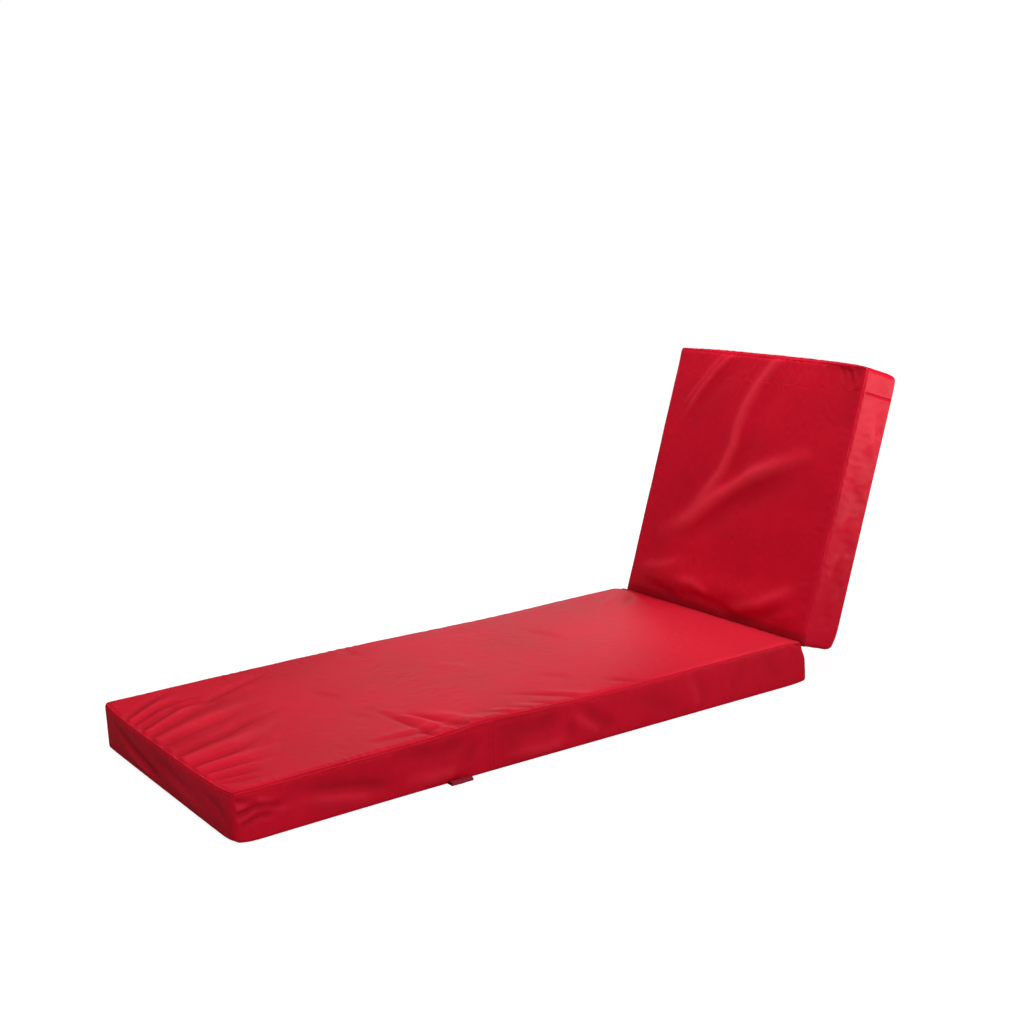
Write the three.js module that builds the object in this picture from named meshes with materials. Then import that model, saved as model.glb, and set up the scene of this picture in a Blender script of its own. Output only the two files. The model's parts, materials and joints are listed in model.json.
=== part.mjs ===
// A sun lounger cushion in two padded parts. A long seat pad lies flat. A short back pad of the
// same width stands up from its head end, leaning back. Each pad is a foam slab in a boxed cover:
// a top panel and an underside panel sewn to a side band, with a raised seam round the top panel.
// A folded strip of the same cloth joins the pads on the inside of the fold, and a short webbing
// loop is caught in the lower edge of the seat pad's near side.
//
// Millimetres. +X runs from the foot end to the head end, +Y across to the far side, +Z up.
// The origin is the middle of the seat pad's flat underside.
import * as THREE from 'three';

// Driving sizes
const SEAT_LENGTH = 1300;
const BACK_LENGTH = 600;
const WIDTH = 600;
const THICKNESS = 96;
const EDGE_RADIUS = 10;
const RECLINE = THREE.MathUtils.degToRad(71.7);
const GAP = 0.3;

// The hinge line: where the back pad's lower front edge would be if it were sharp
const HINGE_X = SEAT_LENGTH / 2 - 8;
const HINGE_Z = 78;

// Raised seam round each top panel
const SEAM_HEIGHT = 2.4;

// The strip that joins the pads, folded along its middle
const STRIP_LEG = 26;
const STRIP_THICKNESS = 1.5;
const STRIP_WIDTH = WIDTH - 5 * EDGE_RADIUS;

// The webbing loop
const LOOP_FROM_FOOT = 442;
const LOOP_WIDTH = 44;
const LOOP_REACH = 16;
const LOOP_HEIGHT = 7;
const WEBBING = 1.6;
const NOSE_STEPS = 8;

// Lattice of the pads: places of the rows round an edge, as shares of its radius, and the
// number of even steps between the edges
const EDGE_ROWS = [0, 0.3, 0.62, 1];
const SEAT_FOOT_STRETCH = 200;
const SEAT_FOOT_STEPS = 10;
const SEAT_LONG_STEPS = 30;
const SEAT_CROSS_STEPS = 28;
const BACK_STEPS = 24;
const BAND_STEPS = 2;

const CLOTH_RED = 0xb5182b;
const WEBBING_RED = 0x8c1426;

// Soft folds in the seat pad's top panel, fanned in from the foot seam. Each row is the fold's
// start and end from the foot end and across the width, its half width and its height.
const SEAT_FOLDS = [
  { u: 14, v: 186, toU: 90, toV: 236, halfWidth: 15, height: -3 },
  { u: 14, v: 110, toU: 130, toV: 170, halfWidth: 16, height: -3.5 },
  { u: 14, v: 60, toU: 170, toV: 112, halfWidth: 17, height: -3 },
  { u: 14, v: -47, toU: 180, toV: -20, halfWidth: 17, height: -3.5 },
  { u: 14, v: -140, toU: 130, toV: -122, halfWidth: 15, height: -3 },
  { u: 14, v: -212, toU: 120, toV: -236, halfWidth: 15, height: -3.5 },
];

// Soft ridges across the back pad's front face, in the same columns from its lower edge
const BACK_FOLDS = [
  { u: 572, v: -21, toU: 428, toV: 36, halfWidth: 26, height: 6 },
  { u: 428, v: 36, toU: 281, toV: 81, halfWidth: 28, height: 6 },
  { u: 281, v: 81, toU: 212, toV: 145, halfWidth: 24, height: 4 },
  { u: 386, v: -175, toU: 327, toV: -37, halfWidth: 28, height: 4 },
  { u: 327, v: -37, toU: 172, toV: 203, halfWidth: 30, height: 7 },
  { u: 582, v: 132, toU: 428, toV: 238, halfWidth: 26, height: 5 },
  { u: 70, v: -40, toU: 130, toV: -230, halfWidth: 22, height: 3 },
];

// The pads differ in how far the faces crown, how far the side bands bow out, and where the
// cover is pulled in or has slipped. Each row of edgeMoves is a stretch of a long top edge: its
// place from the foot end, its side of the pad, its half width and its rise.
const SEAT = {
  length: SEAT_LENGTH,
  crown: 7,
  underCrown: 0,
  sideBow: 2.5,
  endBow: 2.5,
  hingePress: 9,
  footMiddleOut: 6,
  footMiddleDrop: 4,
  swayAtFoot: -11,
  swayStretch: 560,
  edgeMoves: [
    { u: 540, side: -1, halfWidth: 120, height: 5 },
    { u: 900, side: 1, halfWidth: 220, height: -4 },
  ],
  folds: SEAT_FOLDS,
};
const BACK = {
  length: BACK_LENGTH,
  crown: 8,
  underCrown: 8,
  sideBow: 1.5,
  endBow: 8,
  hingePress: 0,
  footMiddleOut: 0,
  footMiddleDrop: 0,
  swayAtFoot: 0,
  swayStretch: 1,
  edgeMoves: [],
  folds: BACK_FOLDS,
};

// Places along a side: the rows round both edges and the given stretches between them.
// Each stretch is its end and its number of steps.
function latticeLine(length, stretches) {
  const line = EDGE_ROWS.map((share) => share * EDGE_RADIUS);
  for (const [end, steps] of stretches) {
    const start = line[line.length - 1];
    for (let n = 1; n <= steps; n += 1) {
      line.push(start + ((end - start) * n) / steps);
    }
  }
  for (const share of EDGE_ROWS.slice(0, -1).reverse()) {
    line.push(length - share * EDGE_RADIUS);
  }
  return line;
}

// 1 over the middle of a span, falling smoothly to 0 at its ends
function fullness(position, span) {
  const t = THREE.MathUtils.clamp((2 * position) / span - 1, -1, 1);
  return 1 - t ** 4;
}

function bell(distance, halfWidth) {
  return Math.exp(-((distance / halfWidth) ** 2));
}

// Height that the folds add at one place of a face
function foldHeight(folds, u, v) {
  let height = 0;
  for (const fold of folds) {
    const alongU = fold.toU - fold.u;
    const alongV = fold.toV - fold.v;
    const long = alongU ** 2 + alongV ** 2;
    const share = ((u - fold.u) * alongU + (v - fold.v) * alongV) / long;
    const held = THREE.MathUtils.clamp(share, 0, 1);
    const offU = u - fold.u - held * alongU;
    const offV = v - fold.v - held * alongV;
    height += fold.height * bell(Math.hypot(offU, offV), fold.halfWidth);
  }
  return height;
}

// Maps a place on the pad's sharp box to its place on the soft pad. u runs along the pad from
// its foot or hinge end, v across, w up through its thickness.
function padPoint(pad, u, v, w) {
  const halfWidth = WIDTH / 2;
  const r = EDGE_RADIUS;
  const sharp = new THREE.Vector3(u, v, w);
  const core = new THREE.Vector3(
    THREE.MathUtils.clamp(u, r, pad.length - r),
    THREE.MathUtils.clamp(v, r - halfWidth, halfWidth - r),
    THREE.MathUtils.clamp(w, r, THICKNESS - r),
  );
  const out = sharp.sub(core).normalize();
  const point = core.clone().addScaledVector(out, r);

  // How far the faces fill out, and how far this place belongs to the ends or the long sides
  const alongFill = fullness(u, pad.length);
  const acrossFill = fullness(v + halfWidth, WIDTH);
  const upFill = fullness(w, THICKNESS);
  const atHinge = pad === SEAT ? u > pad.length - r : u < r;
  const isTop = out.z > 0;

  // Crown of the two faces, with the folds in the top one
  const faceFill = alongFill * acrossFill;
  if (isTop) {
    point.z += out.z * (pad.crown * faceFill + foldHeight(pad.folds, u, v));
  } else {
    point.z += out.z * pad.underCrown * faceFill;
  }

  // The band bows out between its seams and between its corners
  point.y += out.y * pad.sideBow * upFill * alongFill;
  if (!atHinge) {
    point.x += out.x * pad.endBow * upFill * acrossFill;
  }

  // The back pad presses the top of the head end in
  const nearHead = THREE.MathUtils.smoothstep(u, pad.length - 5 * r, pad.length - r);
  const aboveStrip = THREE.MathUtils.smoothstep(w, THICKNESS / 2, THICKNESS - r);
  point.x -= pad.hingePress * nearHead * aboveStrip;

  // The raised seam follows the top edge, but not along the hinge
  const onSeam = w === THICKNESS && (Math.abs(v) === halfWidth || u === 0 || u === pad.length);
  if (onSeam && !atHinge) {
    point.addScaledVector(out, SEAM_HEIGHT);
  }

  // The foot end stands out in the middle, where its seam also sits lower
  const nearFoot = 1 - THREE.MathUtils.smoothstep(u, 0, 8 * r);
  const upShare = point.z / THICKNESS;
  point.x -= pad.footMiddleOut * nearFoot * acrossFill * upShare;
  point.z -= pad.footMiddleDrop * nearFoot * acrossFill * upShare;

  // A stretch of a long top edge is drawn up or has sunk
  for (const move of isTop ? pad.edgeMoves : []) {
    const atEdge = THREE.MathUtils.smoothstep(v * move.side, halfWidth - 5 * r, halfWidth - r);
    point.z += move.height * atEdge * bell(u - move.u, move.halfWidth);
  }

  // The foot end lies a little to the near side
  const swayed = THREE.MathUtils.clamp(1 - u / pad.swayStretch, 0, 1);
  point.y += pad.swayAtFoot * swayed ** 2;
  return point;
}

// One closed pad. The middle of a flat underside is filled with long strips between the two
// side edges, and a crowned one with the same lattice as the top.
function padGeometry(pad, alongLine, acrossLine) {
  const bandEnd = THICKNESS - EDGE_RADIUS;
  const upLine = latticeLine(THICKNESS, [[bandEnd, BAND_STEPS]]);
  const points = [];
  const faces = [];
  const known = new Map();

  function corner(i, j, k) {
    const key = `${i},${j},${k}`;
    if (!known.has(key)) {
      known.set(key, points.length / 3);
      const point = padPoint(pad, alongLine[i], acrossLine[j] - WIDTH / 2, upLine[k]);
      points.push(point.x, point.y, point.z);
    }
    return known.get(key);
  }
  function quad(a, b, c, d) {
    faces.push(a, b, c, a, c, d);
  }

  const lastI = alongLine.length - 1;
  const lastJ = acrossLine.length - 1;
  const lastK = upLine.length - 1;
  const rows = EDGE_ROWS.length - 1;
  const flat = pad.underCrown === 0;
  for (let i = 0; i < lastI; i += 1) {
    for (let j = 0; j < lastJ; j += 1) {
      quad(corner(i, j, lastK), corner(i + 1, j, lastK),
        corner(i + 1, j + 1, lastK), corner(i, j + 1, lastK));
      const inside = i >= rows && i < lastI - rows && j >= rows && j < lastJ - rows;
      if (!(flat && inside)) {
        quad(corner(i, j, 0), corner(i, j + 1, 0), corner(i + 1, j + 1, 0), corner(i + 1, j, 0));
      }
    }
  }
  for (let k = 0; k < lastK; k += 1) {
    for (let i = 0; i < lastI; i += 1) {
      quad(corner(i, 0, k), corner(i + 1, 0, k), corner(i + 1, 0, k + 1), corner(i, 0, k + 1));
      quad(corner(i, lastJ, k), corner(i, lastJ, k + 1),
        corner(i + 1, lastJ, k + 1), corner(i + 1, lastJ, k));
    }
    for (let j = 0; j < lastJ; j += 1) {
      quad(corner(0, j, k), corner(0, j, k + 1), corner(0, j + 1, k + 1), corner(0, j + 1, k));
      quad(corner(lastI, j, k), corner(lastI, j + 1, k),
        corner(lastI, j + 1, k + 1), corner(lastI, j, k + 1));
    }
  }
  if (flat) {
    const nearJ = rows;
    const farJ = lastJ - rows;
    const middleJ = Math.round(lastJ / 2);
    for (let i = rows + 1; i < lastI - rows - 1; i += 1) {
      quad(corner(i, nearJ, 0), corner(i, farJ, 0),
        corner(i + 1, farJ, 0), corner(i + 1, nearJ, 0));
    }
    // At each end a fan meets the closer lattice of the end edge
    const footNear = corner(rows + 1, nearJ, 0);
    const footFar = corner(rows + 1, farJ, 0);
    const headNear = corner(lastI - rows - 1, nearJ, 0);
    const headFar = corner(lastI - rows - 1, farJ, 0);
    for (let j = nearJ; j < farJ; j += 1) {
      const isNear = j < middleJ;
      faces.push(corner(rows, j, 0), corner(rows, j + 1, 0), isNear ? footNear : footFar);
      faces.push(corner(lastI - rows, j + 1, 0), corner(lastI - rows, j, 0),
        isNear ? headNear : headFar);
    }
    faces.push(corner(rows, middleJ, 0), footFar, footNear);
    faces.push(corner(lastI - rows, middleJ, 0), headNear, headFar);
  }

  const geometry = new THREE.BufferGeometry();
  geometry.setAttribute('position', new THREE.Float32BufferAttribute(points, 3));
  geometry.setIndex(faces);
  geometry.computeVertexNormals();
  return geometry;
}

function clothMaterial(colour) {
  return new THREE.MeshStandardMaterial({ color: colour, roughness: 0.75, metalness: 0 });
}

function seatPad() {
  const r = EDGE_RADIUS;
  const alongLine = latticeLine(SEAT_LENGTH, [
    [SEAT_FOOT_STRETCH, SEAT_FOOT_STEPS],
    [SEAT_LENGTH - r, SEAT_LONG_STEPS],
  ]);
  const acrossLine = latticeLine(WIDTH, [[WIDTH - r, SEAT_CROSS_STEPS]]);
  const mesh = new THREE.Mesh(padGeometry(SEAT, alongLine, acrossLine), clothMaterial(CLOTH_RED));
  mesh.name = 'seat_pad';
  mesh.position.x = -SEAT_LENGTH / 2;
  return mesh;
}

// The back pad's own frame has its lower front edge on the hinge line
function backPad() {
  const line = latticeLine(BACK_LENGTH, [[BACK_LENGTH - EDGE_RADIUS, BACK_STEPS]]);
  const mesh = new THREE.Mesh(padGeometry(BACK, line, line), clothMaterial(CLOTH_RED));
  mesh.name = 'back_pad';
  mesh.position.z = -THICKNESS;
  const leaning = new THREE.Group();
  leaning.add(mesh);
  leaning.rotation.y = -RECLINE;
  leaning.position.set(HINGE_X, 0, HINGE_Z);
  return leaning;
}

// Turns a section drawn in X and Z into a bar that runs along Y, centred on Y = 0
function alongY(section, width) {
  const geometry = new THREE.ExtrudeGeometry(section, { depth: width, bevelEnabled: false });
  geometry.translate(0, 0, -width / 2);
  geometry.rotateX(Math.PI / 2);
  return geometry;
}

// The joining strip: one leg down the seat pad's head face, the other out along the back pad's
// lower face
function hingeStrip() {
  const seatFace = SEAT_LENGTH / 2 + GAP;
  const alongBack = new THREE.Vector2(Math.sin(RECLINE), -Math.cos(RECLINE));
  const inward = new THREE.Vector2(-Math.cos(RECLINE), -Math.sin(RECLINE));
  const backFace = new THREE.Vector2(HINGE_X, HINGE_Z).addScaledVector(inward, GAP);
  const toFold = (seatFace - backFace.x) / alongBack.x;
  const outerFold = backFace.clone().addScaledVector(alongBack, toFold);
  const thick = STRIP_THICKNESS;
  const innerBack = outerFold.clone().addScaledVector(inward, thick);
  const toInner = (seatFace + thick - innerBack.x) / alongBack.x;
  const innerFold = innerBack.clone().addScaledVector(alongBack, toInner);
  const outerEnd = outerFold.clone().addScaledVector(alongBack, STRIP_LEG);
  const innerEnd = outerEnd.clone().addScaledVector(inward, thick);
  const section = new THREE.Shape([
    new THREE.Vector2(outerFold.x, outerFold.y - STRIP_LEG),
    new THREE.Vector2(outerFold.x + thick, outerFold.y - STRIP_LEG),
    innerFold,
    innerEnd,
    outerEnd,
    outerFold,
  ]);
  const mesh = new THREE.Mesh(alongY(section, STRIP_WIDTH), clothMaterial(CLOTH_RED));
  mesh.name = 'hinge_strip';
  return mesh;
}

// The webbing loop: a flattened fold whose nose points away from the pad. Its two ends meet the
// pad's rounded lower edge. The section is drawn outward from the near side, and up.
function sideLoop() {
  const r = EDGE_RADIUS;
  const bowAt = (height) => SEAT.sideBow * fullness(height, THICKNESS);
  const edgeAt = (height) => Math.sqrt(r ** 2 - (r - height) ** 2) - r + bowAt(height) + GAP;
  const lowStart = edgeAt(WEBBING);
  const highStart = edgeAt(LOOP_HEIGHT);
  const outerRadius = LOOP_HEIGHT / 2;
  const innerRadius = outerRadius - WEBBING;
  const noseCentre = LOOP_REACH - outerRadius;
  const section = new THREE.Shape();
  section.moveTo(lowStart, 0);
  section.lineTo(noseCentre, 0);
  section.absarc(noseCentre, outerRadius, outerRadius, -Math.PI / 2, Math.PI / 2, false);
  section.lineTo(highStart, LOOP_HEIGHT);
  section.lineTo(highStart, LOOP_HEIGHT - WEBBING);
  section.lineTo(noseCentre, LOOP_HEIGHT - WEBBING);
  section.absarc(noseCentre, outerRadius, innerRadius, Math.PI / 2, -Math.PI / 2, true);
  section.lineTo(lowStart, WEBBING);
  section.closePath();
  const geometry = new THREE.ExtrudeGeometry(section, {
    depth: LOOP_WIDTH,
    bevelEnabled: false,
    curveSegments: NOSE_STEPS,
  });
  geometry.translate(0, 0, -LOOP_WIDTH / 2);
  const outward = new THREE.Vector3(0, -1, 0);
  const upward = new THREE.Vector3(0, 0, 1);
  const alongSide = new THREE.Vector3(-1, 0, 0);
  geometry.applyMatrix4(new THREE.Matrix4().makeBasis(outward, upward, alongSide));
  const mesh = new THREE.Mesh(geometry, clothMaterial(WEBBING_RED));
  mesh.name = 'side_loop';
  const footSide = LOOP_FROM_FOOT - LOOP_WIDTH / 2;
  const swayed = SEAT.swayAtFoot * (1 - footSide / SEAT.swayStretch) ** 2;
  mesh.position.set(LOOP_FROM_FOOT - SEAT_LENGTH / 2, -WIDTH / 2 + swayed, 0);
  return mesh;
}

const cushion = new THREE.Group();
cushion.add(seatPad(), backPad(), hingeStrip(), sideLoop());

export default cushion;
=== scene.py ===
import json
import math

import bpy
import numpy as np
from mathutils import Matrix, Vector

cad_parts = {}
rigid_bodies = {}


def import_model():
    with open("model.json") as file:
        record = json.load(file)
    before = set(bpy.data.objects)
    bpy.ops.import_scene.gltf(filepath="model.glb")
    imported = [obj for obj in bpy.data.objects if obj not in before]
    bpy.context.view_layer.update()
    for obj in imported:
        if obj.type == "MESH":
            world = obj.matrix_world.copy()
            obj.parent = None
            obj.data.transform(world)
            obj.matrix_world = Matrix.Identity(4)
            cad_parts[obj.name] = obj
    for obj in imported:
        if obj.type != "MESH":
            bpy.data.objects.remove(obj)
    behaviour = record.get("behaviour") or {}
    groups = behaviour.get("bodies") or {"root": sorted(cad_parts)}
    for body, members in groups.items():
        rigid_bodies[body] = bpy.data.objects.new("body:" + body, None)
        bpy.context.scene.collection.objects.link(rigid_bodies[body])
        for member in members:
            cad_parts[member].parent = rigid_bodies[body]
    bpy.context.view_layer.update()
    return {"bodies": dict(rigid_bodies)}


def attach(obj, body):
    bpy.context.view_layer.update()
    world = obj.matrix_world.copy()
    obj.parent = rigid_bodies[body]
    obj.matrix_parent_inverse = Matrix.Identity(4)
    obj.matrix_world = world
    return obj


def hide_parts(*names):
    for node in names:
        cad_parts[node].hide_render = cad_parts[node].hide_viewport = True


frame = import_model()

MM = 0.001
# A place this close to a plane of the sharp box lies on it
TINY = 1e-6

# Driving sizes of the cushion
SEAT_LENGTH = 1300 * MM
BACK_LENGTH = 600 * MM
WIDTH = 600 * MM
THICKNESS = 96 * MM
EDGE_RADIUS = 10 * MM
RECLINE = math.radians(71.7)
GAP = 0.3 * MM
HINGE_X = SEAT_LENGTH / 2 - 8 * MM
HINGE_Z = 78 * MM

# How the foam fills the lower edges, rounds the upright ones, and rolls out above the hinge
LOW_EDGE_FILL = 2.2 * MM
CORNER_REACH = 24 * MM
HINGE_ROLL_AT = 62 * MM
HINGE_ROLL_REACH = 32 * MM

# The seam round each top panel, with a groove beside it and small puckers along it
SEAM_HEIGHT = 1.6 * MM
SEAM_WIDTH = 2 * MM
GROOVE_FROM_SEAM = 3.6 * MM
GROOVE_DEPTH = 0.5 * MM
GROOVE_WIDTH = 1.6 * MM
PUCKER_PITCH = 17 * MM
PUCKER_HEIGHT = 0.55 * MM
# The count along the seam starts here on a pad's free end, so that it differs from the sides
END_SEAM_START = 0.31

# The allowance below the seam on the band, and the topstitch that holds it down
ALLOWANCE_RISE = 0.5 * MM
STITCH_DROP = 9 * MM
STITCH_DENT = 0.7 * MM
STITCH_DENT_WIDTH = 1.2 * MM
STITCH_PITCH = 3.6 * MM
STITCH_LENGTH = 0.76 * STITCH_PITCH
STITCH_THICKNESS = 0.42 * MM
STITCH_SIDES = 6
# Rings of a stitch: place along its length, share of its thickness, lift
STITCH_PROFILE = ((-0.5, 0.35, -0.5), (-0.32, 1, 0.1), (0, 1, 0.35), (0.32, 1, 0.1), (0.5, 0.35, -0.5))
ROW_TOLERANCE = 0.01 * MM

# The joining strip and the side loop
STRIP_LEG = 26 * MM
STRIP_THICKNESS = 1.5 * MM
STRIP_WIDTH = WIDTH - 5 * EDGE_RADIUS
STRIP_SEWN_IN = 1.1 * MM
STRIP_FOLD_RADIUS = 1.2 * MM
STRIP_FOLD_STEPS = 6
STRIP_STEPS = 90
NEARLY_STRAIGHT = 3.1
LOOP_FROM_FOOT = 442 * MM
LOOP_WIDTH = 44 * MM
LOOP_REACH = 16 * MM
LOOP_HEIGHT = 7 * MM
LOOP_CLEARANCE = 0.2 * MM
LOOP_STEPS = 5
LOOP_WIDTH_STEPS = 40
LOOP_WAVE = 0.25 * MM
LOOP_WAVE_REACH = 24 * MM
NOSE_POINTS = 13
WEBBING = 1.6 * MM

# Rows of the pads' lattice near an edge, from that edge, and the step up the band between them
EDGE_ROWS = np.array([0, 1.2, 3, 6, 10]) * MM
BAND_TOP_ROWS = np.array([0, 1.2, 3, 6, 7.8, 9, 10.2, 12.5]) * MM
BAND_STEP = 9 * MM

# The cover is held this close to its seams while it is blown up, for so many frames
HELD_BY_SEAM = 3.5 * MM
SIM_FRAMES = 20

# Folds fade towards their end from this share of their length, on all but the top panels
OTHER_FOLD_FADE = 0.75
# The height of a fold at which the shade painted in its trough and the sheen painted on its ridge are
# full
FOLD_AT_FULL_PAINTED_LIGHT = 6 * MM

# Folds of the cover. Each row has the half width and the height in millimetres, the share of
# that height at its start, and the line it follows in millimetres of the panel's two directions.
# The seat's top panel: along from the foot, across
SEAT_TOP_FOLDS = [
    (11, -3.8, 1, [(10, 188), (60, 232), (110, 262)]),
    (10, -4.2, 1, [(4, 146), (60, 182), (100, 195), (168, 190)]),
    (12, -4.2, 1, [(8, 108), (94, 160), (156, 156), (323, 238)]),
    (15, -3.6, 1, [(10, 64), (122, 116), (220, 150)]),
    (11, -4.4, 1, [(2, -66), (91, -45), (172, -9), (240, 10)]),
    (12, -2.6, 1, [(10, 0), (110, 26), (200, 60)]),
    (10, -4.2, 1, [(2, -128), (69, -132), (140, -110)]),
    (10, -2.8, 1, [(6, -178), (60, -186), (120, -196)]),
    (8, -3.2, 1, [(6, -212), (54, -229), (96, -238)]),
    (7, -2.4, 1, [(6, -240), (40, -258), (84, -270)]),
    (12, 2.4, 1, [(12, 166), (80, 210), (130, 232)]),
    (12, 2.6, 1, [(12, 84), (100, 138), (200, 182)]),
    (15, 2.4, 1, [(10, 30), (120, 66), (230, 100)]),
    (14, 2.8, 1, [(8, -96), (100, -84), (200, -50)]),
    (12, 2.8, 1, [(8, -156), (80, -158), (150, -156)]),
    (9, 2.0, 1, [(8, -198), (70, -208), (120, -216)]),
    (8, -3.4, 1, [(399, -296), (392, -240), (381, -170), (372, -110)]),
    (8, -3.6, 1, [(469, -294), (445, -240), (416, -187), (380, -140)]),
    (9, 2.6, 1, [(436, -294), (420, -230), (402, -166), (380, -130)]),
    (10, 2.2, 1, [(498, -294), (478, -240), (446, -190)]),
    (6, -2.6, 1, [(452, -296), (440, -262), (426, -236)]),
    (8, -2.2, 0.5, [(300, -262), (400, -268), (513, -278)]),
    (9, 1.6, 0.5, [(300, -246), (400, -250), (500, -258)]),
    (8, -2.0, 0.8, [(722, -296), (690, -266), (640, -222), (600, -196)]),
    (9, 1.4, 0.8, [(746, -296), (716, -266), (676, -222)]),
    (7, -2.2, 0.8, [(610, -296), (590, -274), (560, -248)]),
    (7, -2.4, 1, [(560, -296), (545, -272), (520, -244)]),
    (6, -2.2, 1, [(655, -296), (640, -276), (616, -256)]),
    (7, 2.0, 1, [(580, -296), (566, -274), (546, -252)]),
    (8, -2.2, 1, [(860, -296), (838, -270), (806, -244)]),
    (12, -1.2, 0.3, [(330, 60), (347, 4), (352, -50)]),
    (12, -1.2, 0.3, [(730, -150), (757, -188), (762, -230)]),
    (12, -1.2, 0.3, [(505, 200), (519, 236), (524, 270)]),
    (12, -1.0, 0.3, [(330, -110), (344, -142), (350, -180)]),
    (14, -1.2, 0.3, [(880, 120), (900, 60), (905, 0)]),
    (14, 1.0, 0.3, [(600, 60), (640, 0), (650, -70)]),
    (10, -1.8, 0.4, [(1180, 150), (1235, 205), (1262, 250)]),
    (10, 1.6, 0.4, [(1150, 180), (1205, 230), (1240, 275)]),
]
# The long side bands: along from the foot, up
SEAT_NEAR_FOLDS = [
    (5, -3.0, 1, [(8, 76), (30, 70), (52, 68)]),
    (7, -5.6, 0.8, [(12, 52), (38, 60), (66, 58), (100, 46)]),
    (6, 3.8, 1, [(10, 64), (50, 68), (86, 57)]),
    (6, -4.2, 0.6, [(18, 34), (47, 44), (78, 40)]),
    (8, 2.6, 1, [(12, 44), (60, 52), (116, 40)]),
    (14, -4.2, 0.3, [(124, 70), (150, 62), (219, 48), (316, 26)]),
    (12, 3.0, 0.3, [(130, 46), (200, 34), (280, 18)]),
    (16, -3.2, 0.5, [(330, 76), (400, 66), (470, 70)]),
    (18, -3.0, 0.5, [(548, 74), (610, 60), (680, 72)]),
    (12, 2.6, 0.4, [(340, 26), (400, 20), (450, 22)]),
    (12, 2.4, 0.4, [(560, 22), (640, 16), (690, 24)]),
    (12, -3.4, 0.3, [(720, 74), (760, 46), (800, 14)]),
    (11, 2.6, 0.3, [(696, 66), (730, 44), (764, 16)]),
    (10, -2.6, 0.3, [(690, 60), (698, 30), (700, 14)]),
    (10, -1.8, 0.5, [(1004, 78), (1022, 46), (1030, 12)]),
    (9, 1.6, 0.5, [(982, 74), (998, 46), (1006, 14)]),
    (12, -1.2, 0.5, [(1128, 78), (1112, 44), (1104, 12)]),
    (16, -1.2, 0.5, [(1190, 78), (1210, 40), (1236, 16)]),
    (16, -1.8, 0.5, [(860, 72), (905, 40), (960, 16)]),
    (10, -2.4, 0.3, [(480, 66), (470, 44), (466, 22)]),
    (9, -1.8, 0.3, [(548, 68), (560, 44), (566, 22)]),
]
SEAT_FAR_FOLDS = [
    (9, -3.0, 0.6, [(20, 66), (60, 60), (100, 48)]),
    (13, -2.4, 0.3, [(170, 70), (240, 48), (330, 20)]),
    (11, -2.2, 0.3, [(520, 66), (560, 42), (590, 16)]),
    (12, 1.8, 0.3, [(700, 60), (760, 40), (830, 22)]),
    (10, -2.0, 0.3, [(980, 70), (1000, 44), (1010, 16)]),
    (10, -2.0, 0.3, [(1180, 70), (1200, 40), (1206, 16)]),
]
# The foot band: across, up
SEAT_FOOT_FOLDS = [
    (10, -3.8, 0.6, [(230, 70), (206, 63), (157, 51), (75, 35), (0, 26)]),
    (11, 2.4, 0.4, [(200, 44), (120, 28), (40, 18)]),
    (10, -2.2, 0.4, [(-200, 66), (-240, 58), (-276, 40)]),
    (13, -1.8, 0.3, [(40, 66), (-60, 56), (-142, 46)]),
    (12, 1.4, 0.3, [(0, 50), (-100, 36), (-190, 28)]),
]
# The back pad's front face: up from the hinge, across
BACK_FRONT_FOLDS = [
    (15, 7.0, 0.7, [(588, -34), (528, 4), (475, 26), (428, 36),
                    (382, 36), (321, 54), (268, 92), (212, 145)]),
    (19, 8.0, 0.3, [(392, -190), (359, -106), (327, -37), (262, 57), (204, 124), (165, 214)]),
    (9, 4.0, 1, [(590, 116), (545, 158), (505, 187), (428, 232)]),
    (7, 2.8, 1, [(590, 142), (550, 176), (515, 200), (450, 246)]),
    (28, -3.6, 0.3, [(560, -80), (480, -28), (400, -12), (330, 10), (262, 50)]),
    (30, -4.4, 0.3, [(340, -190), (300, -100), (262, -20), (200, 62), (140, 140)]),
    (22, -3.0, 0.3, [(580, 70), (520, 136), (450, 182)]),
    (55, -5.0, 1, [(596, -250), (520, -272), (430, -290)]),
    (13, 3.8, 0.5, [(24, -40), (60, -158), (125, -262)]),
    (12, -3.4, 0.5, [(12, -80), (36, -170), (86, -270)]),
    (11, 3.6, 0.4, [(60, 120), (66, 60), (44, -10)]),
    (10, -3.6, 0.5, [(34, 96), (42, 30), (28, -60), (20, -120)]),
    (12, 2.8, 0.4, [(110, 110), (84, 190), (70, 262)]),
    (9, -3.0, 0.4, [(40, 220), (34, 160), (22, 100)]),
    (7, -2.8, 1, [(594, -246), (572, -262), (548, -272)]),
    (6, 2.4, 1, [(594, -258), (566, -276), (540, -282)]),
    (6, -2.4, 1, [(594, -228), (574, -238), (556, -244)]),
    (5, -1.8, 1, [(596, -60), (580, -64), (562, -62)]),
    (5, -1.8, 1, [(596, -84), (582, -86), (566, -90)]),
    (5, -1.8, 1, [(596, -108), (580, -112), (558, -112)]),
    (5, -1.6, 1, [(596, -134), (584, -136), (568, -140)]),
    (5, -1.6, 1, [(596, -162), (582, -164), (564, -166)]),
    (5, -1.4, 1, [(596, -190), (584, -192), (570, -196)]),
    (5, -1.4, 1, [(596, 30), (584, 34), (572, 36)]),
]
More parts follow.
